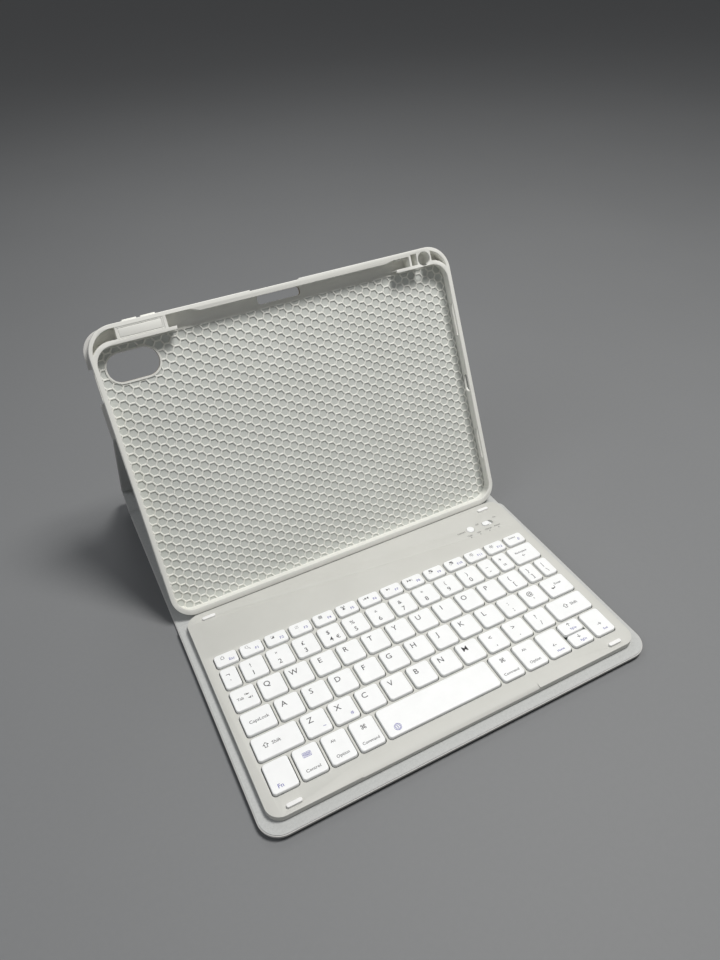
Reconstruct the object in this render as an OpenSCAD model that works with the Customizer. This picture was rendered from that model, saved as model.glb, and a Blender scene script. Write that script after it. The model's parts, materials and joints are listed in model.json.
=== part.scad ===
// Folio case with a full keyboard for a tablet of 10.9 inch class.
// A soft tray holds the tablet. A four-panel folio carries the tray, stands it up and covers it.
// The keyboard sits on its own backing board, which magnets hold on the front cover.
// X runs along the keyboard to the right, Y to the rear, Z up.
// The origin is the centre of the front cover's underside.

/* [Folio panels] */
// Width of every folio panel
folio_w = 257; // [255:0.5:262]
// Length of the front cover from its front edge to the first crease
cover_l = 195; // [185:1:205]
// Distance between the two creases of the spine
spine_l = 20; // [17:0.5:24]
// Thickness of a folio panel
panel_t = 2.2; // [2:0.1:2.6]
// Thickness of the leatherette outer skin
skin_t = 0.6; // [0.4:0.05:0.8]
// Thickness of the suede liner
liner_t = 0.5; // [0.3:0.05:0.7]
// Bare soft crease left on each side of a fold line
crease = 1.8; // [1.5:0.1:3]
// Lean of the spine above the table while the case stands
spine_lean = 45; // [35:1:55]
// Radius of the free corners of a panel
panel_r = 13; // [8:0.5:18]

/* [Tray] */
// Width of the tray
tray_w = 253; // [252.6:0.1:254]
// Height of the tray with its top rail
tray_h = 193.8; // [193:0.1:196]
// Depth of the tray from rim to back
tray_d = 10.5; // [10:0.1:12]
// Lean of the tray above the table
tray_lean = 64.4; // [60:0.2:70]
// Place of the tray's lower front edge behind the origin
tray_foot_y = -31.5; // [-32:0.5:-28]
// Height of the tray's lower front edge above the table
tray_foot_z = 6.1; // [6:0.05:6.6]
// Width of the tablet
tablet_w = 248.6; // [248:0.1:249]
// Height of the tablet
tablet_h = 179.5; // [179:0.1:180]
// Distance from the tray's lower edge to the hinge of the stand
hinge_s = 124; // [118:0.5:126]

/* [Keyboard] */
// Width of the keyboard case
case_w = 245; // [242:0.5:248]
// Depth of the keyboard case
case_l = 152.5; // [151:0.5:153]
// Height of the keyboard case
case_h = 4.6; // [4.4:0.1:5.2]
// Place of the keyboard's rear edge behind the origin
case_rear = -35; // [-37:0.5:-35]
// Width of the whole block of keys
keys_w = 231.7; // [230:0.1:233]
// Width of a letter key
key_w = 15.3; // [15:0.05:15.6]
// Width of a narrow symbol key
narrow_w = 10.3; // [10:0.1:10.6]
// Gap between keys
key_gap = 2.15; // [2:0.05:2.3]
// Depth of a letter key
key_d = 15.5; // [15:0.1:15.8]
// Depth of a bottom row key
base_key_d = 19.25; // [18.5:0.05:19.5]
// Depth of a function key
fn_key_d = 9.4; // [9:0.1:10]
// Travel of a key
key_travel = 1.2; // [0.8:0.1:1.2]

/* [Hidden] */
$fn = 48;
eps = 0.05;
clear = 0.3;

// Fold lines, taken at half the thickness of the panels
fold_z = panel_t / 2;
cover_fold = [cover_l / 2, fold_z];
spine_fold = cover_fold + spine_l * [cos(spine_lean), sin(spine_lean)];
pivot_depth = tray_d + fold_z + 0.4;
tray_up = [cos(tray_lean), sin(tray_lean)];
tray_out = [-sin(tray_lean), cos(tray_lean)];
tray_fold = [tray_foot_y, tray_foot_z] + hinge_s * tray_up - pivot_depth * tray_out;
stand_run = tray_fold - spine_fold;
stand_l = norm(stand_run);
stand_lean = atan2(stand_run[1], stand_run[0]);
hem = 1.5;
board_t = panel_t - skin_t - liner_t;

// Tray
tray_floor = 1;
lip_t = 1.6;
lip_in = 1.2;
pocket_w = tablet_w + 0.8;
pocket_h = tablet_h + 0.6;
pocket_y = 2.6;
pocket_top = pocket_y + pocket_h;
pocket_r = 12.5;
corner_low = 15;
corner_high = 17;
rail_wall = 2.4;
rail_x0 = -76;
rail_x1 = 96;
open_x0 = -71;
open_x1 = 85;
channel_top = 189.2;
camera = [-102, 167, 33, 18];
window = [1, 186.2, 30.5, 5.6];
thin_rail = [-20, 14, 0.7];
back_edge_r = 3;
top_slope = 1.8;
back_top = 192.4;
ribs_x = [89, 91.5, 94];
rib_t = 1;
tube = [107.5, 186.6, 4.8];
power_cut = [159.5, 20];
port_cut = [pocket_y + tablet_h / 2, 13];
speaker_len = 24;
speaker_y = [45, 140];
left_speaker_y = [45, 118];
plug_h = 6.4;
speaker_h = 3;
cut_mid = -5.4;
bridge = [-107, 183.6, 29, 7.6];
volume_x = [-97.2, -85.6];
volume_w = 9;
volume_d = 4.6;
volume_travel = 0.8;
volume_top = 194.6;
tray_magnet = [30, 1.4, 6];
tray_magnet_x = [-80, 0, 80];
magnet_y = 0.3;
magnet_z = -7.4;

// Keyboard levels
board_z = panel_t + 0.2;
kb_board_t = 2;
case_z = board_z + kb_board_t;
deck_z = case_z + case_h;
deck_t = 1;
wall_t = 1.2;
seam_z = case_z + 1;
case_r = 9;
case_front = case_rear - case_l;
board_front = case_front - 7;
board_rear = case_rear + 1;
strip_rise = 0.5;
strip_ramp = 4;
strip_y = case_rear - 31.5;
plate_z = case_z + 0.8;
plate_t = 0.5;
sheet_t = 0.3;
dome_z = plate_z + plate_t + sheet_t;
key_t = 2.2;
key_top = deck_z + 1.7;
key_z = key_top - key_t;
key_r = 1.9;
key_clear = 0.5;
dome_top = key_z - key_travel - 0.1;

// Key rows from the rear to the front: widths, front edges and depths
keys_front = case_front + 12;
keys_left = -keys_w / 2;
row_pitch = key_d + key_gap;
caps_w = 18.9;
shift_w = 27.8;
space_w = 75.25;
fn_key_w = floor((keys_w - 13 * key_gap) / 14 * 20) / 20;
function same(n, w) = [for (i = [1:n]) w];
function total(v, n, i = 0) = i >= n ? 0 : v[i] + key_gap + total(v, n, i + 1);
function filled(v) = concat(v, [keys_w - total(v, len(v))]);
rows = [
    filled(same(13, fn_key_w)),
    filled(concat([narrow_w], same(10, key_w), same(2, narrow_w))),
    filled(concat(same(12, key_w), [narrow_w])),
    filled(concat([caps_w], same(11, key_w))),
    filled(concat([shift_w], same(10, key_w))),
    filled(concat(same(4, key_w), [space_w], same(4, key_w)))
];
row_y = [for (r = [0:5]) r == 5 ? 0 : base_key_d + key_gap + (4 - r) * row_pitch];
row_d = [fn_key_d, key_d, key_d, key_d, key_d, base_key_d];
arrow_i = 8;
arrow_gap = 0.8;
arrow_d = (base_key_d - arrow_gap) / 2;

// Controls on the rear strip
connect_at = [87.7, case_rear - 19.4];
connect_r = 2.8;
connect_travel = 0.4;
switch_at = [102.4, case_rear - 19.4];
switch_slot = [9, 4.6];
switch_knob = [6, 3.8];
switch_flange = [14, 6.2, 0.6];
led_x = [for (i = [0:3]) 83.8 + 7.9 * i];
led_y = case_rear - 26.9;
led_r = 0.6;
port_y = case_rear - 12.5;
port_size = [9, 3.2];
screw_x = [-108, 0, 108];
screw_y = [case_front + 5.6, case_rear - 5.2];
screw_r = 0.7;
pad_size = [9, 2.4];
pad_x = 107.5;
pad_y = [case_front + 3.9, case_rear - 5.9];
dip_x = -10.5;
dip_w = 117;
hold_r = 4;
hold_at = [for (x = [-100, -40, 40, 100]) [x, case_rear - 22]];
foot_at = [for (x = [-80, 0, 80]) [x, tray_foot_y + 4]];
foot_bar = [60, 4];

// Outline of a plate with its own radius at the low and the high corners
module outline(w, y0, y1, r_low, r_high) {
    for (side = [-1, 1]) {
        translate([side * (w / 2 - r_low), y0 + r_low]) circle(r_low);
        translate([side * (w / 2 - r_high), y1 - r_high]) circle(r_high);
    }
    translate([-w / 2 + r_low, y0]) square([w - 2 * r_low, r_low + r_high]);
    translate([-w / 2, y0 + r_low]) square([w, y1 - y0 - r_low - r_high]);
    translate([-w / 2 + r_high, y1 - r_high - r_low]) square([w - 2 * r_high, r_high + r_low]);
}

module plate(w, y0, y1, z, t, r_low, r_high) {
    translate([0, 0, z]) linear_extrude(t) outline(w, y0, y1, r_low, r_high);
}

// Rounded rectangle with its lower left corner at the origin
module pill(w, d, r) {
    translate([w / 2, 0]) outline(w, 0, d, r, r);
}

module box_at(x0, x1, y0, y1, z0, z1) {
    translate([x0, y0, z0]) cube([x1 - x0, y1 - y0, z1 - z0]);
}

module place_spine() {
    translate([0, cover_fold[0], cover_fold[1]]) rotate([spine_lean, 0, 0]) children();
}

module place_stand() {
    translate([0, spine_fold[0], spine_fold[1]]) rotate([stand_lean, 0, 0]) children();
}

module place_tray() {
    translate([0, tray_foot_y, tray_foot_z]) rotate([tray_lean, 0, 0]) children();
}

// The three layers of a folio panel between y0 and y1, with the fold plane at z = 0
module panel_skin(y0, y1, r_low, r_high) {
    difference() {
        plate(folio_w, y0, y1, -fold_z, skin_t + board_t, r_low, r_high);
        plate(folio_w - 2 * hem, y0 + hem, y1 - hem, skin_t - fold_z, board_t + 1,
            max(r_low - hem, 0.5), max(r_high - hem, 0.5));
    }
}

module panel_board(y0, y1, r_low, r_high) {
    plate(folio_w - 2 * hem, y0 + hem, y1 - hem, skin_t - fold_z, board_t,
        max(r_low - hem, 0.5), max(r_high - hem, 0.5));
}

module panel_liner(y0, y1, r_low, r_high) {
    plate(folio_w - 1, y0 + 0.5, y1 - 0.5, fold_z - liner_t, liner_t, max(r_low - 0.5, 0.5),
        max(r_high - 0.5, 0.5));
}

module magnet_row(places, z, t) {
    for (p = places) translate([p[0], p[1], z]) cylinder(r = hold_r, h = t);
}

// Front cover
module cover_skin() {
    color([0.8, 0.79, 0.77]) translate([0, 0, fold_z])
        panel_skin(-cover_l / 2, cover_l / 2 - crease, panel_r, 1);
}

module cover_board() {
    color("tan") difference() {
        translate([0, 0, fold_z]) panel_board(-cover_l / 2, cover_l / 2 - crease, panel_r, 1);
        magnet_row(concat(hold_at, foot_at), skin_t - eps, board_t + 2 * eps);
    }
}

module cover_liner() {
    color([0.74, 0.75, 0.74]) translate([0, 0, fold_z])
        panel_liner(-cover_l / 2, cover_l / 2 - crease, panel_r, 1);
}

module cover_magnets() {
    color("silver") magnet_row(concat(hold_at, foot_at), skin_t, board_t);
}

// Spine
module spine_skin() {
    color([0.8, 0.79, 0.77]) place_spine() panel_skin(crease, spine_l - crease, 1, 1);
}

module spine_board() {
    color("tan") place_spine() panel_board(crease, spine_l - crease, 1, 1);
}

module spine_liner() {
    color([0.74, 0.75, 0.74]) place_spine() panel_liner(crease, spine_l - crease, 1, 1);
}

// Stand, the free lower part of the back cover
module stand_skin() {
    color([0.8, 0.79, 0.77]) place_stand() panel_skin(crease, stand_l - crease, 1, 1);
}

module stand_board() {
    color("tan") place_stand() panel_board(crease, stand_l - crease, 1, 1);
}

module stand_liner() {
    color([0.74, 0.75, 0.74]) place_stand() panel_liner(crease, stand_l - crease, 1, 1);
}

// Upper part of the back cover, bonded to the tray
module back_cuts(depth) {
    translate([camera[0] - camera[2] / 2, camera[1] - camera[3] / 2, -depth])
        linear_extrude(depth) pill(camera[2], camera[3], camera[3] / 2 - eps);
    translate([window[0] - window[2] / 2, window[1] - window[3] / 2, -depth])
        linear_extrude(depth) pill(window[2], window[3], 2);
}

module back_notch() {
    translate([-folio_w / 2 - 1, power_cut[0] - power_cut[1] / 2 - 1, -tray_d - panel_t - 1])
        linear_extrude(panel_t + 2) pill(4.2, power_cut[1] + 2, 2);
}

module back_skin() {
    color([0.8, 0.79, 0.77]) place_tray() difference() {
        plate(folio_w, hinge_s + crease, back_top, -tray_d - panel_t, panel_t, 1, 14);
        plate(folio_w - 4 * hem, hinge_s + crease + hem, back_top - hem, -tray_d - panel_t + skin_t,
            panel_t, 1, 12);
        back_cuts(tray_d + 2 * panel_t);
        back_notch();
    }
}

module back_board() {
    color("tan") place_tray() difference() {
        plate(folio_w - 4 * hem, hinge_s + crease + hem, back_top - hem, -tray_d - panel_t + skin_t,
            panel_t - skin_t, 1, 12);
        back_cuts(tray_d + 2 * panel_t);
        back_notch();
    }
}

// Tray
module pocket_outline(grow) {
    outline(pocket_w + 2 * grow, pocket_y - grow, pocket_top + grow, pocket_r + grow,
        pocket_r + grow);
}

module corner_cavity(side) {
    difference() {
        intersection() {
            outline(tray_w - 2 * rail_wall, 3, tray_h - rail_wall, corner_low, corner_high - rail_wall);
            translate([side < 0 ? -tray_w / 2 : 113.2, 176])
                square([side < 0 ? tray_w / 2 - 107.5 : 20, 20]);
        }
        pocket_outline(1.6);
    }
}

module channel() {
    translate([rail_x0, pocket_top + 0.9]) square([rail_x1 - rail_x0, channel_top - pocket_top - 0.9]);
    polygon([[rail_x0, 186], [rail_x0, 191.4], [-60, 191.4], [-54, channel_top], [-54, 186]]);
    polygon([[78, 186], [78, channel_top], [84, 190.4], [rail_x1, 190.4], [rail_x1, 186]]);
    translate([open_x0, pocket_top - 6]) square([open_x1 - open_x0, 8]);
    translate([97.5, pocket_top + 0.9]) square([4.6, 7.6]);
}

module channel_ribs() {
    for (x = ribs_x) box_at(x - rib_t / 2, x + rib_t / 2, channel_top - 0.5, channel_top + 2,
        -tray_d, -lip_t);
}

// Slope of the tray's top towards its back
module top_cut() {
    rotate([90, 0, 90]) translate([0, 0, -tray_w]) linear_extrude(2 * tray_w)
        polygon([[tray_h, -1], [tray_h - top_slope, -tray_d], [tray_h - top_slope, -tray_d - 1],
            [tray_h + 1, -tray_d - 1], [tray_h + 1, -1]]);
}

module side_cut(side, y, len, high) {
    translate([side < 0 ? -tray_w / 2 - 1 : tray_w / 2 - 3, y - len / 2, cut_mid - high / 2])
        rotate([90, 0, 90]) linear_extrude(4) pill(len, high, high / 2 - eps);
}

// Rounding of the tray's lower back edge, which clears the cover
module back_edge() {
    translate([-tray_w / 2, 0, -tray_d]) rotate([90, 0, 90]) difference() {
        translate([0, 0, -1]) linear_extrude(tray_w + 2) translate([-1, -1])
            square(back_edge_r + 1);
        translate([back_edge_r, back_edge_r, -2]) cylinder(r = back_edge_r, h = tray_w + 4);
    }
}

module tray_shell() {
    color([0.83, 0.83, 0.8]) place_tray() difference() {
        plate(tray_w, 0, tray_h, -tray_d, tray_d, corner_low, corner_high);
        translate([0, 0, tray_floor - tray_d])
            linear_extrude(tray_d - tray_floor - lip_t) pocket_outline(0);
        translate([0, 0, -lip_t - eps]) linear_extrude(lip_t + 1) pocket_outline(-lip_in);
        difference() {
            translate([0, 0, tray_floor - tray_d]) linear_extrude(tray_d) channel();
            channel_ribs();
        }
        top_cut();
        for (side = [-1, 1])
            translate([0, 0, tray_floor - tray_d]) linear_extrude(tray_d) corner_cavity(side);
        translate([tube[0], tube[1], tray_floor - tray_d]) cylinder(r = tube[2], h = tray_d);
        translate([bridge[0], bridge[1], tray_floor - tray_d])
            cube([bridge[2], bridge[3], tray_d]);
        back_cuts(tray_d + 1);
        for (x = volume_x)
            box_at(x - volume_w / 2 - 0.2, x + volume_w / 2 + 0.2, bridge[1] + bridge[3] - eps,
                tray_h + 1, -7.6, -7.2 + volume_d);
        box_at(thin_rail[0], thin_rail[1], tray_h - thin_rail[2], tray_h + 1, -tray_d - 1, 1);
        back_edge();
        side_cut(-1, power_cut[0], power_cut[1], plug_h);
        side_cut(1, port_cut[0], port_cut[1], plug_h);
        for (y = speaker_y) side_cut(1, y, speaker_len, speaker_h);
        for (y = left_speaker_y) side_cut(-1, y, speaker_len, speaker_h);
        tray_magnet_bars(2);
    }
}

module volume_bridge() {
    color([0.83, 0.83, 0.8]) place_tray() difference() {
        translate([bridge[0], bridge[1], tray_floor - tray_d])
            cube([bridge[2], bridge[3], tray_d - tray_floor - 0.2]);
        translate([bridge[0] + 1, bridge[1] + 0.8, -0.5]) difference() {
            cube([bridge[2] - 2, bridge[3] - 1.6, 1]);
            translate([0.4, 0.4, -1]) cube([bridge[2] - 2.8, bridge[3] - 2.4, 3]);
        }
        for (x = volume_x)
            box_at(x - volume_w / 2 - 0.2, x + volume_w / 2 + 0.2, bridge[1] + bridge[3] - 1.4,
                bridge[1] + bridge[3] + 1, -7.6, -7.2 + volume_d);
    }
}

module volume_button(x) {
    color([0.83, 0.83, 0.8]) place_tray() {
        box_at(x - volume_w / 2, x + volume_w / 2, bridge[1] + bridge[3] - 0.4, volume_top,
            -7.4, -7.4 + volume_d);
    }
}

module volume_up_button() { volume_button(volume_x[0]); }
module volume_down_button() { volume_button(volume_x[1]); }

// Bars let into the tray's underside
module tray_magnet_bars(open_by = 0) {
    for (x = tray_magnet_x)
        box_at(x - tray_magnet[0] / 2, x + tray_magnet[0] / 2, magnet_y - open_by,
            magnet_y + tray_magnet[1], magnet_z, magnet_z + tray_magnet[2]);
}

module tray_magnets() {
    color("silver") place_tray() tray_magnet_bars();
}

// Backing board of the keyboard
module keyboard_board() {
    color([0.8, 0.79, 0.77]) difference() {
        plate(folio_w, board_front, board_rear, board_z, kb_board_t - liner_t, panel_r, 5);
        magnet_row(hold_at, board_z + 0.4, kb_board_t);
    }
}

module keyboard_liner() {
    color([0.74, 0.75, 0.74])
        plate(folio_w - 1, board_front + 0.5, board_rear - 0.5, case_z - liner_t, liner_t,
            panel_r - 0.5, 4.5);
}

module hold_discs() {
    color("silver") magnet_row(hold_at, board_z + 0.4, kb_board_t - liner_t - 0.4);
}

module board_feet() {
    color("dimgray") for (side = [-1, 1])
        translate([side * 70 - foot_bar[0] / 2, board_front + 6, 0])
            linear_extrude(board_z) pill(foot_bar[0], foot_bar[1], 1.9);
}

// Keyboard case
module bottom_case() {
    color([0.8, 0.8, 0.78]) difference() {
        union() {
            plate(case_w - 1, case_front + 0.5, case_rear - 0.5, case_z, seam_z - case_z, case_r, case_r);
            plate(case_w - 2 * wall_t - 0.2, case_front + wall_t + 0.1, case_rear - wall_t - 0.1,
                case_z, 2.6, case_r - wall_t, case_r - wall_t);
        }
        plate(case_w - 4 * wall_t, case_front + 2 * wall_t, case_rear - 2 * wall_t, case_z + 0.8, 3,
            case_r - 2 * wall_t, case_r - 2 * wall_t);
        for (x = screw_x, y = screw_y) translate([x, y, case_z - 1]) cylinder(r = 1.5, h = 3);
        port_cut_out(0.2);
    }
}

module port_cut_out(gap) {
    translate([case_w / 2 - 9, port_y - port_size[0] / 2 - gap,
        case_z + (case_h - port_size[1]) / 2 - gap])
        rotate([90, 0, 90]) linear_extrude(12)
            pill(port_size[0] + 2 * gap, port_size[1] + 2 * gap, port_size[1] / 2 + gap - eps);
}

// What is cut away in front of the raised rear strip, with the strip's ramp
module key_field_cut() {
    rotate([90, 0, 90]) translate([0, 0, -case_w]) linear_extrude(2 * case_w)
        polygon([[case_front - 2, deck_z], [strip_y - strip_ramp, deck_z],
            [strip_y + strip_ramp, deck_z + 2 * strip_rise], [strip_y + strip_ramp, deck_z + 3],
            [case_front - 2, deck_z + 3]]);
}

module finger_dip() {
    rotate([90, 0, 90]) translate([0, 0, dip_x - dip_w / 2]) linear_extrude(dip_w)
        polygon([[case_front - 1, deck_z - 1.1], [case_front + 9, deck_z + 1.1],
            [case_front + 9, deck_z + 3], [case_front - 1, deck_z + 3]]);
}

module top_case() {
    color([0.81, 0.8, 0.77]) difference() {
        plate(case_w, case_front, case_rear, seam_z, deck_z + strip_rise - seam_z, case_r, case_r);
        key_field_cut();
        difference() {
            plate(case_w - 2 * wall_t, case_front + wall_t, case_rear - wall_t, seam_z - 1,
                deck_z - deck_t - seam_z + 1, case_r - wall_t, case_r - wall_t);
            for (x = screw_x, y = screw_y) translate([x, y, seam_z]) cylinder(r = 1.9, h = 4);
        }
        for (x = screw_x, y = screw_y) translate([x, y, seam_z - 1]) cylinder(r = screw_r, h = 3.4);
        for (r = [0:5], i = [0:len(rows[r]) - 1]) key_hole(r, i);
        finger_dip();
        translate([connect_at[0], connect_at[1], deck_z - 3]) cylinder(r = connect_r + 0.15, h = 5);
        translate([switch_at[0] - switch_slot[0] / 2, switch_at[1] - switch_slot[1] / 2, deck_z - 3])
            linear_extrude(5) pill(switch_slot[0], switch_slot[1], switch_slot[1] / 2 - eps);
        for (x = led_x) translate([x, led_y, deck_z - 3]) cylinder(r = led_r, h = 5);
        for (side = [-1, 1], y = pad_y) pad_recess(side, y);
        port_cut_out(0.2);
    }
}

module pad_recess(side, y) {
    translate([side * pad_x - pad_size[0] / 2, y - pad_size[1] / 2, pad_floor(y)])
        linear_extrude(2) pill(pad_size[0], pad_size[1], pad_size[1] / 2 - eps);
}

function pad_floor(y) = deck_z - 0.4 + (y > strip_y ? strip_rise : 0);

module rubber_pads() {
    color("whitesmoke") for (side = [-1, 1], y = pad_y)
        translate([side * pad_x - pad_size[0] / 2, y - pad_size[1] / 2, pad_floor(y)])
            linear_extrude(y > strip_y ? 1.6 : 2) pill(pad_size[0], pad_size[1], pad_size[1] / 2 - eps);
}

module case_screws() {
    color("silver") for (x = screw_x, y = screw_y) {
        translate([x, y, case_z + 0.2]) cylinder(r = 1.3, h = 0.8);
        translate([x, y, case_z + 0.9]) cylinder(r = screw_r, h = 2.2);
    }
}

module key_plate() {
    color("gray") box_at(keys_left - 1, -keys_left + 1, keys_front - 2,
        keys_front + row_y[0] + fn_key_d + 2, plate_z, plate_z + plate_t);
}

module membrane() {
    color("lightgreen") box_at(keys_left, -keys_left, keys_front - 1,
        keys_front + row_y[0] + fn_key_d + 1, plate_z + plate_t, plate_z + plate_t + sheet_t);
}

// Centre of a key, measured from the key block's front left corner
function key_x(r, i) = total(rows[r], i) + rows[r][i] / 2;
module each_key() {
    for (r = [0:5], i = [0:len(rows[r]) - 1])
        if (r == 5 && i == arrow_i) for (half = [0, 1])
            translate([keys_left + key_x(r, i), keys_front + half * (arrow_d + arrow_gap) + arrow_d / 2, 0])
                children();
        else
            translate([keys_left + key_x(r, i), keys_front + row_y[r] + row_d[r] / 2, 0]) children();
}

module dome_sheet() {
    color("white") each_key() translate([0, 0, dome_z])
        cylinder(r1 = 1.9, r2 = 1.2, h = dome_top - dome_z);
}

module scissor_frames() {
    color("ivory") each_key() translate([0, 0, dome_z + 0.1]) difference() {
        translate([-3.9, -3.3, 0]) cube([7.8, 6.6, 0.7]);
        translate([-2.8, -2.4, -1]) cube([5.6, 4.8, 3]);
    }
}

module circuit_board() {
    color("darkgreen") {
        box_at(70, 114, case_rear - 29.5, case_rear - 8, plate_z, plate_z + 0.8);
        box_at(76, 84, case_rear - 16, case_rear - 10, plate_z + 0.8, plate_z + 1.7);
        for (x = led_x) box_at(x - 0.8, x + 0.8, led_y - 0.8, led_y + 0.8, plate_z + 0.8, plate_z + 1.2);
    }
}

module battery() {
    color("silver") plate(80, case_rear - 29, case_rear - 9, plate_z, 2.4, 1, 1);
}

module charge_port() {
    z = case_z + (case_h - port_size[1]) / 2;
    color("silver") {
        translate([case_w / 2 - 7.8, port_y - port_size[0] / 2, z]) rotate([90, 0, 90]) difference() {
            linear_extrude(7.6) pill(port_size[0], port_size[1], port_size[1] / 2 - eps);
            translate([0.35, 0.35, 1]) linear_extrude(8)
                pill(port_size[0] - 0.7, port_size[1] - 0.7, port_size[1] / 2 - 0.4);
        }
        box_at(case_w / 2 - 7, case_w / 2 - 1.6, port_y - 3.3, port_y + 3.3,
            z + port_size[1] / 2 - 0.35, z + port_size[1] / 2 + 0.35);
    }
}

module connect_button() {
    color("white") translate([connect_at[0], connect_at[1], deck_z - 1.6])
        cylinder(r = connect_r, h = strip_rise + 2);
}

module power_switch() {
    color("white") translate([switch_at[0] - switch_slot[0] / 2 + 0.3, switch_at[1] - switch_knob[1] / 2,
        deck_z - 1.6]) linear_extrude(strip_rise + 2.2)
            pill(switch_knob[0], switch_knob[1], switch_knob[1] / 2 - eps);
    color("white") translate([switch_at[0] - switch_slot[0] / 2 + 0.3 + switch_knob[0] / 2
        - switch_flange[0] / 2, switch_at[1] - switch_flange[1] / 2, deck_z - 1.9])
            linear_extrude(switch_flange[2]) pill(switch_flange[0], switch_flange[1], 1);
}

module status_lights() {
    color("gray") for (x = led_x) translate([x, led_y, plate_z + 1.2])
        cylinder(r = led_r - 0.02, h = deck_z + strip_rise - 0.1 - plate_z - 1.2);
}

// Keys
module key_cap(w, d) {
    linear_extrude(key_t) pill(w, d, key_r);
}

module key_at(r, i) {
    color("white") translate([keys_left + total(rows[r], i), keys_front + row_y[r], key_z])
        key_cap(rows[r][i], row_d[r]);
}

module key_hole(r, i) {
    translate([keys_left + total(rows[r], i) - key_clear, keys_front + row_y[r] - key_clear, key_z - 2])
        linear_extrude(6)
            pill(rows[r][i] + 2 * key_clear, row_d[r] + 2 * key_clear, key_r + key_clear);
}

module key_run(r, first, last) {
    for (i = [first:last]) key_at(r, i);
}

module half_key(half) {
    color("white") translate([keys_left + total(rows[5], arrow_i),
        keys_front + half * (arrow_d + arrow_gap), key_z]) key_cap(rows[5][arrow_i], arrow_d);
}

cover_skin();
cover_board();
cover_liner();
cover_magnets();
spine_skin();
spine_board();
spine_liner();
stand_skin();
stand_board();
stand_liner();
tray_shell();
back_skin();
back_board();
volume_bridge();
volume_up_button();
volume_down_button();
tray_magnets();
keyboard_board();
keyboard_liner();
board_feet();
bottom_case();
top_case();
key_plate();
membrane();
dome_sheet();
scissor_frames();
circuit_board();
battery();
charge_port();
connect_button();
power_switch();
status_lights();
rubber_pads();
case_screws();
hold_discs();
key_at(0, 0);  // esc_key
key_run(0, 1, 12);  // function_keys
key_at(0, 13);  // delete_key
key_run(1, 0, 12);  // number_keys
key_at(1, 13);  // backspace_key
key_at(2, 0);  // tab_key
key_run(2, 1, 13);  // top_letter_keys
key_at(3, 0);  // caps_key
key_run(3, 1, 11);  // home_letter_keys
key_at(3, 12);  // enter_key
key_at(4, 0);  // left_shift_key
key_run(4, 1, 10);  // low_letter_keys
key_at(4, 11);  // right_shift_key
key_at(5, 0);  // fn_key
key_at(5, 1);  // control_key
key_at(5, 2);  // left_option_key
key_at(5, 3);  // left_command_key
key_at(5, 4);  // space_key
key_at(5, 5);  // right_command_key
key_at(5, 6);  // right_option_key
key_at(5, 7);  // left_key
half_key(0);  // down_key
half_key(1);  // up_key
key_at(5, 9);  // right_key
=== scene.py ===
import json
import math

import bmesh
import bpy
from mathutils import Matrix, Vector


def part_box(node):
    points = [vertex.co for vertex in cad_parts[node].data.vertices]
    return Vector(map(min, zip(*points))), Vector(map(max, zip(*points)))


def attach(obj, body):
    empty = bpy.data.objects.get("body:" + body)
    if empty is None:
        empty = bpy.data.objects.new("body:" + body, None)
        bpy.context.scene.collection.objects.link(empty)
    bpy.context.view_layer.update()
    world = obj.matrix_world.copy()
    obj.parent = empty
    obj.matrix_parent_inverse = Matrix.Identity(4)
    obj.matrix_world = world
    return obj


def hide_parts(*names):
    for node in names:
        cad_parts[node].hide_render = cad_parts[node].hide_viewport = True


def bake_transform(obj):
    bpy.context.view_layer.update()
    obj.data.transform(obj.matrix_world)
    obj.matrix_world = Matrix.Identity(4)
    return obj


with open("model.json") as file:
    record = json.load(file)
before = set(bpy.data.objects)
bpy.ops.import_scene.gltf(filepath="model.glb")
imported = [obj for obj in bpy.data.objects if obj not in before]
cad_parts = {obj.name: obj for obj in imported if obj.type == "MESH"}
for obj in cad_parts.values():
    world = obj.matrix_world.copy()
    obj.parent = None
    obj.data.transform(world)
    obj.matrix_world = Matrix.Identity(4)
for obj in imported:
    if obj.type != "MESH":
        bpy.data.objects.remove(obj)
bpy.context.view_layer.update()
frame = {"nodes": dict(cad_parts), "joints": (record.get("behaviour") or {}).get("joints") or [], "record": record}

mm = 0.001
nodes = frame["nodes"]
joints = {joint["name"]: joint for joint in frame["joints"]}
bodyOf = {node: body for body, members in frame["record"]["behaviour"]["bodies"].items()
          for node in members}


# Helpers around the operators: one selects, one opens edit mode, one picks by place or normal
def pick(*pieces):
    active = bpy.context.view_layer.objects.active
    if active and active.mode != "OBJECT":
        bpy.ops.object.mode_set(mode="OBJECT")
    bpy.ops.object.select_all(action="DESELECT")
    for piece in pieces:
        piece.select_set(True)
    bpy.context.view_layer.objects.active = pieces[0] if pieces else None


def startEdit(piece, mode="FACE"):
    pick(piece)
    bpy.ops.object.mode_set(mode="EDIT")
    bpy.ops.mesh.select_mode(type=mode)
    bpy.ops.mesh.select_all(action="DESELECT")


def endEdit():
    bpy.ops.object.mode_set(mode="OBJECT")


def selectWhere(piece, kind, test):
    mesh = bmesh.from_edit_mesh(piece.data)
    mesh.normal_update()
    for item in getattr(mesh, kind):
        item.select_set(bool(test(item)))
    mesh.select_flush_mode()
    bmesh.update_edit_mesh(piece.data)


def middle(edge):
    return (edge.verts[0].co + edge.verts[1].co) / 2


def isSharp(edge, degrees=30):
    return len(edge.link_faces) == 2 and edge.calc_face_angle(0) > math.radians(degrees)


def applyPlace(piece):
    pick(piece)
    bpy.ops.object.transform_apply(location=True, rotation=True, scale=True)


def joinAs(name, pieces):
    pick(*pieces)
    if len(pieces) > 1:
        bpy.ops.object.join()
    piece = bpy.context.view_layer.objects.active
    piece.name = name
    return piece


def smoothBy(piece, degrees=35):
    pick(piece)
    bpy.ops.object.shade_smooth_by_angle(angle=math.radians(degrees))


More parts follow.
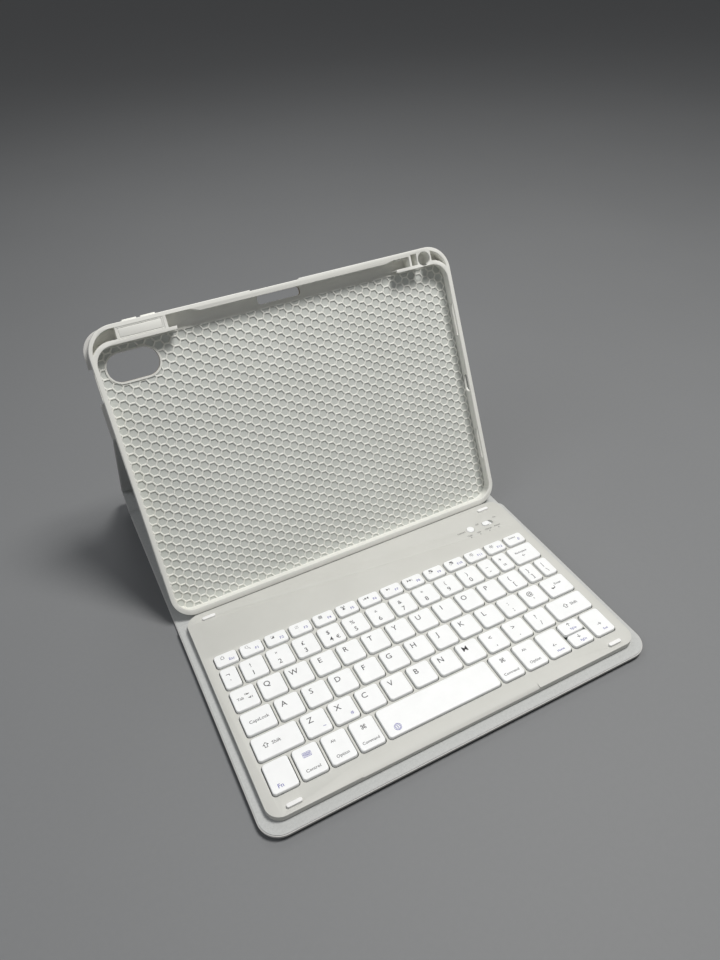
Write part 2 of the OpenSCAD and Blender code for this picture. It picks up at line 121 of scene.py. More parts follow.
def bevelAll(piece, width, segments=2, degrees=30):
    pick(piece)
    modifier = piece.modifiers.new("softEdge", "BEVEL")
    modifier.width = width
    modifier.segments = segments
    modifier.limit_method = "ANGLE"
    modifier.angle_limit = math.radians(degrees)
    modifier.use_clamp_overlap = True
    modifier.harden_normals = False
    bpy.ops.object.modifier_apply(modifier="softEdge")


def workCopy(node, name, flatten=None):
    mesh = nodes[node].data.copy()
    mesh.materials.clear()
    piece = bpy.data.objects.new(name, mesh)
    bpy.context.scene.collection.objects.link(piece)
    if flatten:
        mesh.transform(flatten.inverted())
    startEdit(piece, "VERT")
    bpy.ops.mesh.select_all(action="SELECT")
    bpy.ops.mesh.remove_doubles(threshold=0.004 * mm)
    bpy.ops.mesh.dissolve_limited(angle_limit=math.radians(0.8))
    endEdit()
    return piece


def finishPiece(piece, body, material, replaced=()):
    piece.data.materials.clear()
    piece.data.materials.append(material)
    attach(piece, body)
    if replaced:
        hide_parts(*replaced)


# Every finish is made by the same nodes from a few values: two tones, grain size, roughness, bump
def newSurface(name, look):
    material = bpy.data.materials.new(name)
    material.use_nodes = True
    tree = material.node_tree
    shader = tree.nodes["Principled BSDF"]
    place = tree.nodes.new("ShaderNodeTexCoord")

    def noise(scale, detail=3.0, rough=0.6):
        texture = tree.nodes.new("ShaderNodeTexNoise")
        texture.inputs["Scale"].default_value = scale
        texture.inputs["Detail"].default_value = detail
        texture.inputs["Roughness"].default_value = rough
        tree.links.new(place.outputs["Object"], texture.inputs["Vector"])
        return texture

    blotch = noise(look.get("blotch", 60), 4.0)
    grain = noise(look["grain"], 2.0, 0.7)
    mix = tree.nodes.new("ShaderNodeMix")
    mix.data_type = "RGBA"
    tone = tree.nodes.new("ShaderNodeMapRange")
    tone.inputs["From Min"].default_value = 0.3
    tone.inputs["From Max"].default_value = 0.7
    both = tree.nodes.new("ShaderNodeMath")
    both.operation = "MULTIPLY_ADD"
    both.inputs[1].default_value = look.get("speckle", 0.3)
    tree.links.new(grain.outputs["Fac"], both.inputs[0])
    shrink = tree.nodes.new("ShaderNodeMath")
    shrink.operation = "MULTIPLY"
    shrink.inputs[1].default_value = 1 - look.get("speckle", 0.3)
    tree.links.new(blotch.outputs["Fac"], shrink.inputs[0])
    tree.links.new(shrink.outputs[0], both.inputs[2])
    tree.links.new(both.outputs[0], tone.inputs["Value"])
    tree.links.new(tone.outputs["Result"], mix.inputs[0])
    mix.inputs[6].default_value = (*look["dark"], 1)
    mix.inputs[7].default_value = (*look["light"], 1)
    tree.links.new(mix.outputs[2], shader.inputs["Base Color"])
    gloss = tree.nodes.new("ShaderNodeMapRange")
    gloss.inputs["To Min"].default_value = look["rough"][0]
    gloss.inputs["To Max"].default_value = look["rough"][1]
    tree.links.new(blotch.outputs["Fac"], gloss.inputs["Value"])
    tree.links.new(gloss.outputs["Result"], shader.inputs["Roughness"])
    bump = tree.nodes.new("ShaderNodeBump")
    bump.inputs["Strength"].default_value = look.get("bump", 0.2)
    bump.inputs["Distance"].default_value = look.get("depth", 0.05) * mm
    height = grain.outputs["Fac"]
    if "pebble" in look:
        cells = tree.nodes.new("ShaderNodeTexVoronoi")
        cells.inputs["Scale"].default_value = look["pebble"]
        tree.links.new(place.outputs["Object"], cells.inputs["Vector"])
        height = cells.outputs["Distance"]
    tree.links.new(height, bump.inputs["Height"])
    tree.links.new(bump.outputs["Normal"], shader.inputs["Normal"])
    shader.inputs["Metallic"].default_value = look.get("metal", 0)
    shader.inputs["Specular IOR Level"].default_value = look.get("specular", 0.5)
    shader.inputs["Sheen Weight"].default_value = look.get("sheen", 0)
    shader.inputs["Sheen Roughness"].default_value = 0.5
    return material


looks = {
    "suede": {"dark": (0.45, 0.46, 0.45), "light": (0.59, 0.60, 0.59), "grain": 3200, "blotch": 700,
              "speckle": 0.6, "rough": (0.85, 1.0), "bump": 0.55, "depth": 0.16, "specular": 0.15,
              "sheen": 0.35},
    "leatherette": {"dark": (0.55, 0.545, 0.525), "light": (0.63, 0.625, 0.605), "grain": 1500, "pebble": 1100,
                    "rough": (0.55, 0.7), "bump": 0.5, "depth": 0.12, "specular": 0.35},
    # comb: the honeycomb cell floors, painted darker and greener than the tray ribs as painted shade in the
    # recessed cells
    "comb": {"dark": (0.57, 0.59, 0.56), "light": (0.62, 0.64, 0.61), "grain": 3200, "blotch": 25,
             "rough": (0.42, 0.55), "bump": 0.12, "depth": 0.03, "specular": 0.4},
    "tray": {"dark": (0.78, 0.78, 0.735), "light": (0.83, 0.83, 0.785), "grain": 3200, "blotch": 25,
             "rough": (0.42, 0.55), "bump": 0.12, "depth": 0.03, "specular": 0.4},
    "case": {"dark": (0.555, 0.555, 0.52), "light": (0.60, 0.60, 0.565), "grain": 3800, "blotch": 30,
             "rough": (0.5, 0.6), "bump": 0.22, "depth": 0.03, "specular": 0.4},
    "key": {"dark": (0.86, 0.87, 0.87), "light": (0.91, 0.92, 0.92), "grain": 4200, "blotch": 90,
            "rough": (0.36, 0.48), "bump": 0.1, "depth": 0.02},
    "rubber": {"dark": (0.80, 0.80, 0.79), "light": (0.88, 0.88, 0.87), "grain": 2600,
               "rough": (0.6, 0.75), "bump": 0.15, "depth": 0.04},
    "dark_rubber": {"dark": (0.035, 0.035, 0.035), "light": (0.06, 0.06, 0.06), "grain": 2600,
                    "rough": (0.7, 0.85), "bump": 0.2, "depth": 0.05},
    "board": {"dark": (0.33, 0.25, 0.16), "light": (0.45, 0.36, 0.25), "grain": 900, "speckle": 0.6,
              "rough": (0.8, 0.95), "bump": 0.3, "depth": 0.08},
    "magnet": {"dark": (0.42, 0.42, 0.43), "light": (0.55, 0.55, 0.56), "grain": 1500, "metal": 1,
               "rough": (0.3, 0.45), "bump": 0.08, "depth": 0.02},
    "steel": {"dark": (0.45, 0.45, 0.46), "light": (0.6, 0.6, 0.61), "grain": 1800, "metal": 1,
              "rough": (0.25, 0.4), "bump": 0.08, "depth": 0.02},
    # film: the membrane's own dark tone, darkened further as painted shade in the gaps around the keys
    "film": {"dark": (0.16, 0.20, 0.18), "light": (0.20, 0.25, 0.22), "grain": 700, "rough": (0.25, 0.35),
             "bump": 0.05, "depth": 0.02},
    "dome": {"dark": (0.66, 0.66, 0.63), "light": (0.75, 0.75, 0.72), "grain": 1600, "rough": (0.5, 0.6),
             "bump": 0.1, "depth": 0.03},
    "circuit": {"dark": (0.012, 0.07, 0.03), "light": (0.02, 0.12, 0.05), "grain": 900,
                "rough": (0.3, 0.4), "bump": 0.1, "depth": 0.03},
    "cell": {"dark": (0.5, 0.5, 0.52), "light": (0.62, 0.62, 0.64), "grain": 500, "metal": 1,
             "rough": (0.35, 0.5), "bump": 0.15, "depth": 0.05},
    "light": {"dark": (0.33, 0.33, 0.32), "light": (0.42, 0.42, 0.41), "grain": 900,
              "rough": (0.2, 0.3), "bump": 0.05, "depth": 0.02},
    "ink": {"dark": (0.05, 0.05, 0.055), "light": (0.08, 0.08, 0.085), "grain": 5000,
            "rough": (0.5, 0.6), "bump": 0.05, "depth": 0.01},
    "blueInk": {"dark": (0.09, 0.09, 0.34), "light": (0.13, 0.13, 0.42), "grain": 5000,
                "rough": (0.5, 0.6), "bump": 0.05, "depth": 0.01},
    "paleInk": {"dark": (0.24, 0.24, 0.23), "light": (0.30, 0.30, 0.29), "grain": 5000,
                "rough": (0.5, 0.6), "bump": 0.05, "depth": 0.01},
}
surfaces = {name: newSurface(name, look) for name, look in looks.items()}
slotOf = {part["node"]: part["material_slot"] for part in frame["record"]["subparts"]}
for node, piece in nodes.items():
    piece.data.materials.clear()
    piece.data.materials.append(surfaces[slotOf[node]])
print("stage: materials", len(surfaces))


# Folio panels keep their own layers, with softened edges; curved strips close the folds
panelLook = {"skinEdge": 0.35, "linerEdge": 0.22}


def softPanel(node, edge):
    piece = workCopy(node, node + "_soft")
    bevelAll(piece, edge * mm, 3, 40)
    smoothBy(piece)
    finishPiece(piece, bodyOf[node], surfaces[slotOf[node]], [node])


for node in ("cover_skin", "spine_skin", "stand_skin", "back_skin", "keyboard_board"):
    softPanel(node, panelLook["skinEdge"])
for node in ("cover_liner", "spine_liner", "stand_liner", "keyboard_liner"):
    softPanel(node, panelLook["linerEdge"])

crease = {"reach": 1.8, "tuck": 1.4, "thick": 0.9, "steps": 10, "width": 256.6,
          "outer": -0.6, "inner": 0.55}


def direction(degrees):
    return Vector((0, math.cos(math.radians(degrees)), math.sin(math.radians(degrees))))


def creaseStrip(name, pivot, leanA, leanB, shift, slot):
    before, after = direction(leanA), direction(leanB)
    sideA = Vector((0, -before.z, before.y))
    sideB = Vector((0, -after.z, after.y))
    reach, tuck = crease["reach"] * mm, crease["tuck"] * mm
    start = pivot - before * reach + sideA * shift * mm
    end = pivot + after * reach + sideB * shift * mm
    turn = pivot + (sideA + sideB) / 2 * shift * mm
    line = [start - before * tuck]
    for i in range(crease["steps"] + 1):
        t = i / crease["steps"]
        line.append(start * (1 - t) ** 2 + turn * 2 * t * (1 - t) + end * t * t)
    line.append(end + after * tuck)
    half, rows = crease["width"] * mm / 2, len(line) - 1
    bpy.ops.object.select_all(action="DESELECT")
    bpy.ops.mesh.primitive_grid_add(x_subdivisions=1, y_subdivisions=rows, size=1)
    strip = bpy.context.object
    strip.name = name
    for vertex in strip.data.vertices:
        spot = line[round((vertex.co.y + 0.5) * rows)]
        vertex.co = (half if vertex.co.x > 0 else -half, spot.y, spot.z)
    pick(strip)
    wall = strip.modifiers.new("thick", "SOLIDIFY")
    wall.thickness = crease["thick"] * mm
    wall.offset = 0
    bpy.ops.object.modifier_apply(modifier="thick")
    smoothBy(strip, 50)
    strip.data.materials.clear()
    strip.data.materials.append(surfaces[slot])
    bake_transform(strip)


def pivotOf(name):
    return Vector(joints[name]["pos_m"])


standPivot, spinePivot, trayPivot = (pivotOf(n) for n in ("stand_fold", "spine_fold", "tray_fold"))
spineRun = standPivot - spinePivot
standRun = trayPivot - standPivot
spineLean = math.degrees(math.atan2(spineRun.z, spineRun.y))
standLean = math.degrees(math.atan2(standRun.z, standRun.y))
trayLean = standLean - joints["tray_fold"]["range_deg"][1]
for slot, side in (("leatherette", "outer"), ("suede", "inner")):
    shift = crease[side]
    creaseStrip("front_crease_" + side, spinePivot, 0, spineLean, shift, slot)
    creaseStrip("rear_crease_" + side, standPivot, spineLean, standLean, shift, slot)
    creaseStrip("upper_crease_" + side, trayPivot, standLean, trayLean, shift, slot)
print("stage: folio")


# Tray: the moulded body with rounded rims, the button bridge and the honeycomb floor
tray = {"foot": (-31.5, 6.1), "lean": 64.4, "width": 253, "high": 193.8, "deep": 10.5,
        "cornerLow": 15, "cornerHigh": 17, "outerEdge": 1.3, "backEdge": 2.2, "smallEdge": 0.25,
        "buttonEdge": 0.3, "nearSide": 0.06, "nearTop": 0.8, "nearCorner": 0.4}
trayPlace = (Matrix.Translation((0, tray["foot"][0] * mm, tray["foot"][1] * mm))
             @ Matrix.Rotation(math.radians(tray["lean"]), 4, "X"))


def nearZ(edge, z):
    return all(abs(v.co.z - z * mm) < 0.02 * mm for v in edge.verts)


def isOuterRim(edge):
    x, y = abs(middle(edge).x) / mm, middle(edge).y / mm
    wide, high = tray["width"] / 2, tray["high"]
    corner = tray["cornerLow"] if y < high / 2 else tray["cornerHigh"]
    dx = max(0, x - (wide - corner))
    dy = max(0, corner - y) if y < high / 2 else max(0, y - (high - corner))
    if dx and dy:
        return math.hypot(dx, dy) > corner - tray["nearCorner"]
    return x > wide - tray["nearSide"] or y < tray["nearSide"] or y > high - tray["nearTop"]


def makeTray():
    piece = workCopy("tray_shell", "tray_body", trayPlace)
    startEdit(piece, "EDGE")
    selectWhere(piece, "edges", lambda e: nearZ(e, 0) and isSharp(e) and isOuterRim(e))
    bpy.ops.mesh.bevel(offset=tray["outerEdge"] * mm, segments=4, affect="EDGES", clamp_overlap=True)
    selectWhere(piece, "edges", lambda e: nearZ(e, -tray["deep"]) and isSharp(e) and isOuterRim(e))
    bpy.ops.mesh.bevel(offset=tray["backEdge"] * mm, segments=4, affect="EDGES", clamp_overlap=True)
    endEdit()
    bevelAll(piece, tray["smallEdge"] * mm, 2, 40)
    smoothBy(piece, 40)
    piece.data.transform(trayPlace)
    finishPiece(piece, "tray", surfaces["tray"], ["tray_shell"])


makeTray()
for node in ("volume_bridge", "volume_up_button", "volume_down_button"):
    piece = workCopy(node, node + "_soft", trayPlace)
    bevelAll(piece, tray["buttonEdge"] * mm, 3, 40)
    smoothBy(piece, 40)
    piece.data.transform(trayPlace)
    finishPiece(piece, bodyOf[node], surfaces["tray"], [node])

comb = {"pitch": 6.05, "flat": 0.29, "round": 0.14, "slope": 0.1, "top": -8.8, "floor": -9.46, "pairs": 25,
        "rows": 32, "start": (-130.88, -4.05), "end": 180.7, "side": 125.3, "foot": 2.1, "corner": 13.4,
        "centre": (111.9, 15.5, 169.8), "lens": (-102, 167, 33, 18), "ring": 1.1, "strip": (238, 0.9)}


def makeBlock(name, size, place):
    bpy.ops.object.select_all(action="DESELECT")
    bpy.ops.mesh.primitive_cube_add(size=1, location=[value * mm for value in place])
    block = bpy.context.object
    block.name = name
    block.scale = [value * mm for value in size]
    applyPlace(block)
    return block


def makeRing(x, y, width, height, edge):
    bpy.ops.object.select_all(action="DESELECT")
    bpy.ops.mesh.primitive_plane_add(size=1, location=(x * mm, y * mm, comb["floor"] * mm))
    ring = bpy.context.object
    ring.scale = ((width + 2 * edge) * mm, (height + 2 * edge) * mm, 1)
    applyPlace(ring)
    startEdit(ring, "VERT")
    bpy.ops.mesh.select_all(action="SELECT")
    bpy.ops.mesh.bevel(offset=(height / 2 + edge) * 0.99 * mm, segments=10, affect="VERTICES")
    bpy.ops.mesh.select_mode(type="FACE")
    bpy.ops.mesh.select_all(action="SELECT")
    bpy.ops.mesh.inset(thickness=edge * mm)
    bpy.ops.mesh.delete(type="FACE")
    bpy.ops.mesh.select_all(action="SELECT")
    rise = (comb["top"] - comb["floor"]) * mm
    bpy.ops.mesh.extrude_region_move(TRANSFORM_OT_translate={"value": (0, 0, rise)})
    endEdit()
    return ring


def cutAway(angle, distance, centre):
    way = Vector((math.cos(math.radians(angle)), math.sin(math.radians(angle)), 0))
    bpy.ops.mesh.select_all(action="SELECT")
    bpy.ops.mesh.bisect(plane_co=(Vector((*centre, 0)) + way * distance) * mm, plane_no=way, clear_outer=True)


def makeHoneycomb():
    pitch, step = comb["pitch"], comb["pitch"] * math.sqrt(3) / 2
    startX, startY = comb["start"]
    drop = comb["floor"] - comb["top"] + comb["round"]
    bpy.ops.object.select_all(action="DESELECT")
    bpy.ops.mesh.primitive_circle_add(vertices=6, radius=pitch / math.sqrt(3) * mm, fill_type="NGON",
                                      location=(0, 0, comb["top"] * mm))
    cell = bpy.context.object
    cell.rotation_euler.z = math.radians(30)
    applyPlace(cell)
    startEdit(cell, "FACE")
    bpy.ops.mesh.select_all(action="SELECT")
    bpy.ops.mesh.inset(thickness=comb["flat"] * mm)
    bpy.ops.mesh.inset(thickness=comb["round"] * mm, depth=-comb["round"] * mm)
    bpy.ops.mesh.inset(thickness=comb["slope"] * mm, depth=drop * mm)
    endEdit()
    cell.data.transform(Matrix.Translation((startX * mm, startY * mm, 0)))
    other = bpy.data.objects.new("cell", cell.data.copy())
    bpy.context.scene.collection.objects.link(other)
    other.data.transform(Matrix.Translation((step * mm, pitch / 2 * mm, 0)))
    sheet = joinAs("tray_honeycomb", [cell, other])
    for count, offset in ((comb["pairs"], (2 * step * mm, 0, 0)), (comb["rows"], (0, pitch * mm, 0))):
        pick(sheet)
        array = sheet.modifiers.new("run", "ARRAY")
        array.count = count
        array.use_relative_offset = False
        array.use_constant_offset = True
        array.constant_offset_displace = offset
        bpy.ops.object.modifier_apply(modifier="run")
    lensX, lensY, lensW, lensH = comb["lens"]
    clearBy = lensH / 2 + comb["ring"] / 2
    lensRun = (lensW - lensH) / 2

    def fromLens(x, y):  # nearest point of the camera window's middle line, and the distance to it
        along = max(-lensRun, min(lensRun, x - lensX))
        return lensX + along, math.hypot(x - lensX - along, y - lensY)

    def overLens(face):
        spot = face.calc_center_median() / mm
        column = round((spot.x - startX) / step)
        lift = pitch / 2 if column % 2 else 0
        row = round((spot.y - startY - lift) / pitch)
        x, y = startX + column * step, startY + lift + row * pitch
        return fromLens(x, y)[1] < lensH / 2

    startEdit(sheet, "FACE")
    selectWhere(sheet, "faces", overLens)
    bpy.ops.mesh.delete(type="FACE")
    bpy.ops.mesh.select_mode(type="VERT")
    bpy.ops.mesh.select_all(action="SELECT")
    bpy.ops.mesh.remove_doubles(threshold=0.02 * mm)
    for angle, distance in ((0, comb["side"]), (180, comb["side"]), (90, comb["end"]), (-90, -comb["foot"])):
        cutAway(angle, distance, (0, 0))
    endEdit()
    for vertex in sheet.data.vertices:  # cells that reach into the window are pressed back under its rim
        x, y = vertex.co.x / mm, vertex.co.y / mm
        along, away = fromLens(x, y)
        if away < clearBy:
            grow = clearBy / max(away, 0.01)
            vertex.co.x = (along + (x - along) * grow) * mm
            vertex.co.y = (lensY + (y - lensY) * grow) * mm
    startEdit(sheet, "VERT")
    acrossBy, low, high = comb["centre"]
    for side in (-1, 1):  # the rounded corners, cut by chords inside the wall
        for y, up in ((low, -1), (high, 1)):
            for lean in (22.5, 45, 67.5):
                angle = up * (lean if side > 0 else 180 - lean)
                cutAway(angle, comb["corner"], (side * acrossBy, y))
    endEdit()
    stripLong, stripWide = comb["strip"]
    deep = comb["top"] - comb["floor"]
    strip = makeBlock("strip", (stripLong, stripWide, deep), (0, comb["end"], comb["top"] - deep / 2))
    sheet = joinAs("tray_honeycomb", [sheet, strip, makeRing(*comb["lens"], comb["ring"])])
    startEdit(sheet, "FACE")
    bpy.ops.mesh.select_all(action="SELECT")
    bpy.ops.mesh.normals_make_consistent(inside=False)
    endEdit()
    mesh = sheet.data
    if sum(p.normal.z * p.area for p in mesh.polygons) < 0:
        mesh.flip_normals()
    # the sunken cell floors are picked here to carry painted shade: the darker comb finish
    paintedShadeFloors = [p.center.z < (comb["floor"] + 0.02) * mm and p.normal.z > 0.9 for p in mesh.polygons]
    mesh.transform(trayPlace)
    smoothBy(sheet, 25)
    finishPiece(sheet, "tray", surfaces["tray"])
    # darker comb finish on the cell floors is painted shade in the recesses; rib tops keep the tray finish
    mesh.materials.append(surfaces["comb"])
    mesh.polygons.foreach_set("material_index", [int(inPaintedShade) for inPaintedShade in paintedShadeFloors])
    print("stage: honeycomb faces", len(mesh.polygons))


makeHoneycomb()


# Keyboard case and its small parts, all with softened edges
caseEdges = {"top_case": (0.35, 2), "bottom_case": (0.3, 2), "rubber_pads": (0.25, 3), "connect_button": (0.35, 3),
             "power_switch": (0.3, 3), "board_feet": (0.4, 2), "charge_port": (0.08, 2)}
for node, (edge, segments) in caseEdges.items():
    piece = workCopy(node, node + "_soft")
    bevelAll(piece, edge * mm, segments, 40)
    smoothBy(piece, 40)
    finishPiece(piece, bodyOf[node], surfaces[slotOf[node]], [node])
print("stage: case")


# Keys: one model for each size, copied to every place in its row
keyLook = {"gap": 2.15, "corner": 1.9, "topEdge": 0.45, "inset": 0.8, "dish": 0.05, "taper": 0.2}
keyModels = {}


def modelKey(width, depth, high):
    size = (round(width, 2), round(depth, 2))
    if size not in keyModels:
        bpy.ops.object.select_all(action="DESELECT")
        bpy.ops.mesh.primitive_cube_add(size=1, location=(0, 0, high / 2 * mm))
        key = bpy.context.object
        key.scale = (width * mm, depth * mm, high * mm)
        applyPlace(key)
        startEdit(key, "EDGE")
        selectWhere(key, "edges", lambda e: abs(e.verts[0].co.z - e.verts[1].co.z) > 0.1 * mm)
        bpy.ops.mesh.bevel(offset=keyLook["corner"] * mm, segments=5, affect="EDGES")
        bpy.ops.mesh.select_mode(type="FACE")
        selectWhere(key, "faces", lambda f: f.normal.z > 0.9)
        slim = [1 - 2 * keyLook["taper"] / side for side in (width, depth)]
        bpy.ops.transform.resize(value=(*slim, 1))
        bpy.ops.mesh.bevel(offset=keyLook["topEdge"] * mm, segments=3, affect="EDGES")
        selectWhere(key, "faces", lambda f: f.normal.z > 0.99)
        bpy.ops.mesh.inset(thickness=keyLook["inset"] * mm, depth=-keyLook["dish"] * mm)
        endEdit()
        smoothBy(key, 50)
        keyModels[size] = key.data.copy()
        bpy.data.objects.remove(key)
    return keyModels[size]


def placeKey(left, front, width, depth, low, high):
    mesh = modelKey(width, depth, high - low).copy()
    mesh.transform(Matrix.Translation(((left + width / 2) * mm, (front + depth / 2) * mm, low * mm)))
    key = bpy.data.objects.new("key", mesh)
    bpy.context.scene.collection.objects.link(key)
    return key


def inMm(node):
    low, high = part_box(node)
    return low / mm, high / mm


letterW = inMm("tab_key")[1].x - inMm("tab_key")[0].x
numbersW = inMm("number_keys")[1].x - inMm("number_keys")[0].x
widthOf = {"key": letterW, "narrow": (numbersW - 12 * keyLook["gap"] - 10 * letterW) / 3}
rowPlan = {"function_keys": 12 * ["even"], "number_keys": ["narrow"] + 10 * ["key"] + 2 * ["narrow"],
           "top_letter_keys": 11 * ["key"] + ["narrow", "even"], "home_letter_keys": 11 * ["even"],
           "low_letter_keys": 10 * ["even"]}
keySpots = {}


def rowSpots(node):
    low, high = inMm(node)
    plan = rowPlan.get(node, ["even"])
    room = high.x - low.x - keyLook["gap"] * (len(plan) - 1)
    taken = sum(widthOf.get(kind, 0) for kind in plan)
    other = (room - taken) / max(1, plan.count("even"))
    spots, x = [], low.x
    for kind in plan:
        width = widthOf.get(kind, other)
        spots.append((x, low.y, width, high.y - low.y, low.z, high.z))
        x += width + keyLook["gap"]
    return spots


keyNodes = [node for node in nodes if slotOf[node] == "key" and node.endswith(("_key", "_keys"))]
for node in keyNodes:
    keySpots[node] = rowSpots(node)
    caps = joinAs(node + "_caps", [placeKey(*spot) for spot in keySpots[node]])
    smoothBy(caps, 50)
    finishPiece(caps, bodyOf[node], surfaces["key"], [node])
print("stage: keys", sum(len(s) for s in keySpots.values()))


# Printed legends, thin raised words on the keys and the rear strip
printLook = {"lift": 0.02, "thick": 0.02, "bold": 0.02, "rise": 0.3,
             "letter": 5.3, "digit": 4.9, "upper": 4.3, "mark": 4.6, "word": 2.7, "strip": 1.9,
             "at": (5.2, 10.4), "digitAt": (6.3, 4.2), "upperAt": (6.2, 10.0)}
prints = {}


def addPrint(words, x, y, z, size, body, ink):
    bpy.ops.object.select_all(action="DESELECT")
    bpy.ops.object.text_add(location=(0, 0, 0))
    text = bpy.context.object
    text.data.body = words
    text.data.size = size * mm
    text.data.align_x = "CENTER"
    text.data.align_y = "CENTER"
    text.data.extrude = printLook["thick"] * mm / 2
    text.data.offset = printLook["bold"] * mm
    text.data.resolution_u = 3
    bpy.ops.object.convert(target="MESH")
    text = bpy.context.object
    text.data.transform(Matrix.Translation((x * mm, y * mm, z * mm)))
    prints.setdefault((body, ink), []).append(text)


def onKey(node, index, words, dx, dy, size, ink="ink"):
    left, front, width, depth, low, high = keySpots[node][index]
    z = high - keyLook["dish"] + printLook["lift"]
    addPrint(words, left + dx, front + dy, z, size, bodyOf[node], ink)


letter, digit, above = printLook["letter"], printLook["digit"], printLook["upper"]
mark, word = printLook["mark"], printLook["word"]
letterRows = {"top_letter_keys": "QWERTYUIOP", "home_letter_keys": "ASDFGHJKL", "low_letter_keys": "ZXCVBNM"}
for node, glyphs in letterRows.items():
    for i, glyph in enumerate(glyphs):
        onKey(node, i, glyph, *printLook["at"], letter)
for i, (glyph, shifted) in enumerate(zip("1234567890", "!\"£$%^&*()")):
    onKey("number_keys", i + 1, glyph, *printLook["digitAt"], digit)
    onKey("number_keys", i + 1, shifted, *printLook["upperAt"], above)
onKey("number_keys", 4, "€", 11.0, 4.2, 4.0)
for node, index, top, bottom in (("number_keys", 0, "¬", "`"), ("number_keys", 11, "_", "-"),
                                 ("number_keys", 12, "+", "="), ("top_letter_keys", 10, "{", "["),
                                 ("top_letter_keys", 11, "}", "]"), ("top_letter_keys", 12, "|", "\\"),
                                 ("home_letter_keys", 9, ":", ";"), ("home_letter_keys", 10, "@", "'"),
                                 ("low_letter_keys", 7, "<", ","), ("low_letter_keys", 8, ">", "."),
                                 ("low_letter_keys", 9, "?", "/")):
    width = keySpots[node][index][2]
    onKey(node, index, top, width * 0.4, 10.0, mark)
    onKey(node, index, bottom, width * 0.45, 4.4, mark)
onKey("low_letter_keys", 0, "~", 11.4, 3.8, 3.2, "blueInk")
onKey("low_letter_keys", 1, "#", 11.4, 3.8, 3.0, "blueInk")
icons = ("🔍", "◪", "◫", "▦", "✂", "|◀◀", "▶ll", "▶▶|", "🔉", "🔊", "🔅", "🔆")
for i, icon in enumerate(icons):
    onKey("function_keys", i, f"F{i + 1}", 10.6, 3.4, 2.8, "blueInk")
    onKey("function_keys", i, icon, 5.2, 6.0, 3.2 if len(icon) == 1 else 2.0)
# Node, words, place from the key's front left corner, size, ink
wordPrints = (
    ("esc_key", "⌂", 5.2, 6.0, 3.6, "ink"), ("delete_key", "🔒", 10.4, 3.4, 2.6, "blueInk"),
    ("esc_key", "Esc", 10.4, 3.2, 2.8, "blueInk"), ("delete_key", "Delete", 6.4, 6.3, 2.0, "ink"),
    ("tab_key", "Tab", 5.0, 7.7, word, "ink"), ("tab_key", "⇤", 9.6, 9.4, 3.2, "ink"),
    ("tab_key", "⇥", 10.8, 6.4, 3.2, "ink"), ("caps_key", "CapsLock", 9.9, 7.8, 3.0, "ink"),
    ("left_shift_key", "Shift", 13.4, 7.9, 3.0, "ink"), ("left_shift_key", "⇧", 7.2, 7.9, 4.4, "ink"),
    ("right_shift_key", "Shift", 17.6, 7.9, 3.0, "ink"), ("right_shift_key", "⇧", 11.4, 7.9, 4.4, "ink"),
    ("backspace_key", "Backspace", 8.8, 9.6, 2.3, "ink"), ("backspace_key", "←", 8.8, 5.8, 3.2, "ink"),
    ("enter_key", "Enter", 11.2, 9.2, 2.5, "ink"), ("enter_key", "↵", 6.0, 6.6, 4.0, "ink"),
    ("fn_key", "Fn", 5.6, 3.6, 3.7, "blueInk"), ("control_key", "Control", 7.6, 4.2, 2.7, "ink"),
    ("control_key", "⌨", 7.6, 13.4, 4.6, "blueInk"), ("space_key", "🌐", 7.4, 4.4, 4.4, "blueInk"),
    ("left_option_key", "Alt", 6.2, 13.9, 2.4, "ink"), ("left_option_key", "Option", 7.8, 4.2, 2.7, "ink"),
    ("right_option_key", "Alt", 6.2, 13.9, 2.4, "ink"), ("right_option_key", "Option", 7.8, 4.2, 2.7, "ink"),
    ("left_command_key", "Command", 7.7, 4.2, 2.5, "ink"), ("left_command_key", "⌘", 7.7, 13.6, 4.0, "ink"),
    ("right_command_key", "Command", 7.7, 4.2, 2.5, "ink"), ("right_command_key", "⌘", 7.7, 13.6, 4.0, "ink"),
    ("left_key", "←", 7.6, 7.6, 3.6, "ink"), ("left_key", "Home", 8.8, 3.2, 2.1, "blueInk"),
    ("right_key", "→", 7.6, 7.6, 3.6, "ink"), ("right_key", "End", 8.8, 3.2, 2.1, "blueInk"),
    ("up_key", "↑", 7.6, 6.2, 3.6, "ink"), ("up_key", "PgUp", 8.8, 2.8, 2.1, "blueInk"),
    ("down_key", "↓", 7.6, 6.2, 3.6, "ink"), ("down_key", "PgDn", 8.8, 2.8, 2.1, "blueInk"),
)
for node, words, dx, dy, size, ink in wordPrints:
    onKey(node, 0, words, dx, dy, size, ink)

strip = inMm("connect_button")[1].z - printLook["rise"] + printLook["lift"]
stripPrints = (("Connect", 79.8, -54.6), ("Off", 94.8, -52.4), ("On", 110.4, -51.4), ("Caps", 83.8, -59.8),
               ("Link", 91.7, -59.8), ("Charge", 99.6, -59.8), ("Power", 107.5, -59.8))
for words, x, y in stripPrints:
    addPrint(words, x, y, strip, printLook["strip"], "keyboard", "paleInk")
for (body, ink), pieces in prints.items():
    done = joinAs(f"legend_{body}_{ink}", pieces)
    finishPiece(done, body, surfaces[ink])
print("stage: legends", len(prints))


# Floor, light and camera
studio = {"floor": 9.0, "key": ((0.36, -0.2, 1.3), 0.42, 15.5), "fill": ((-0.9, -0.1, 0.9), 0.8, 2),
          "back": ((0.2, 0.9, 1.0), 0.7, 2), "world": 0.16, "aim": (0, 0, 0.03), "drop": -0.0003,
          "warm": (1.0, 0.985, 0.96), "cool": (0.92, 0.95, 1.0), "plain": (1.0, 1.0, 1.0),
          "sky": (0.97, 0.98, 1.0, 1)}


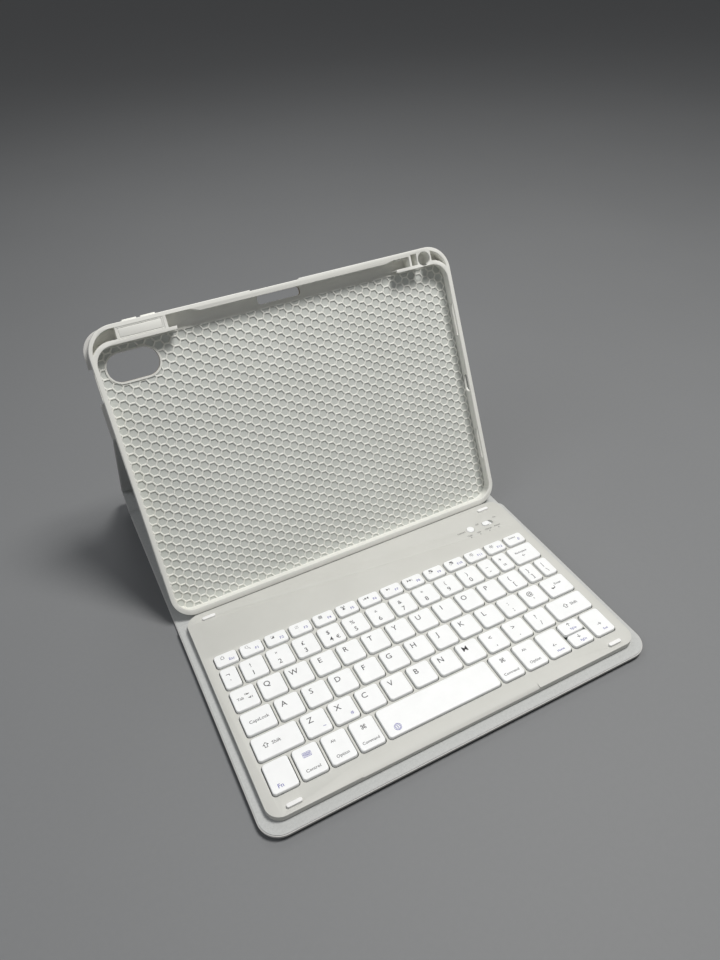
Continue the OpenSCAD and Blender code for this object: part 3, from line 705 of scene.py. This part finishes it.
def addLight(name, spot, size, power, tint):
    data = bpy.data.lights.new(name, "AREA")
    data.shape = "DISK"
    data.size = size
    data.energy = power
    data.color = tint
    lamp = bpy.data.objects.new(name, data)
    bpy.context.scene.collection.objects.link(lamp)
    lamp.location = spot
    lamp.rotation_euler = (Vector(studio["aim"]) - Vector(spot)).to_track_quat("-Z", "Y").to_euler()


bpy.ops.object.select_all(action="DESELECT")
bpy.ops.mesh.primitive_plane_add(size=studio["floor"], location=(0, 0, studio["drop"]))
floor = bpy.context.object
floor.name = "floor"
floorLook = {"dark": (0.185, 0.19, 0.195), "light": (0.20, 0.205, 0.21), "grain": 300, "blotch": 2,
             "rough": (0.6, 0.7), "bump": 0.05, "depth": 0.02}
floor.data.materials.append(newSurface("floorPaper", floorLook))
addLight("keyLight", *studio["key"], studio["warm"])
addLight("fillLight", *studio["fill"], studio["cool"])
addLight("backLight", *studio["back"], studio["plain"])
world = bpy.data.worlds.new("studio")
bpy.context.scene.world = world
world.use_nodes = True
world.node_tree.nodes["Background"].inputs["Color"].default_value = studio["sky"]
world.node_tree.nodes["Background"].inputs["Strength"].default_value = studio["world"]
bpy.context.scene.view_settings.view_transform = "Standard"

cameraSet = {"aim": (1.0, -95.5, 4.4), "azimuth": -25.3, "elevation": 38.95, "roll": -2.9,
             "back": 486.1, "right": -22.5, "up": 89.9, "lens": 27.735}
az, el, roll = (math.radians(cameraSet[k]) for k in ("azimuth", "elevation", "roll"))
forward = Vector((-math.sin(az) * math.cos(el), math.cos(az) * math.cos(el), -math.sin(el)))
level = Vector((math.cos(az), math.sin(az), 0))
upright = level.cross(forward)
rightward = level * math.cos(roll) + upright * math.sin(roll)
upward = upright * math.cos(roll) - level * math.sin(roll)
spot = (Vector(cameraSet["aim"]) - forward * cameraSet["back"] + rightward * cameraSet["right"]
        + upward * cameraSet["up"]) * mm
data = bpy.data.cameras.new("camera")
data.lens = cameraSet["lens"]
data.sensor_width = 36
data.clip_start = 0.01
camera = bpy.data.objects.new("camera", data)
bpy.context.scene.collection.objects.link(camera)
turn = Matrix((rightward, upward, -forward)).transposed().to_4x4()
camera.matrix_world = Matrix.Translation(spot) @ turn
bpy.context.scene.camera = camera
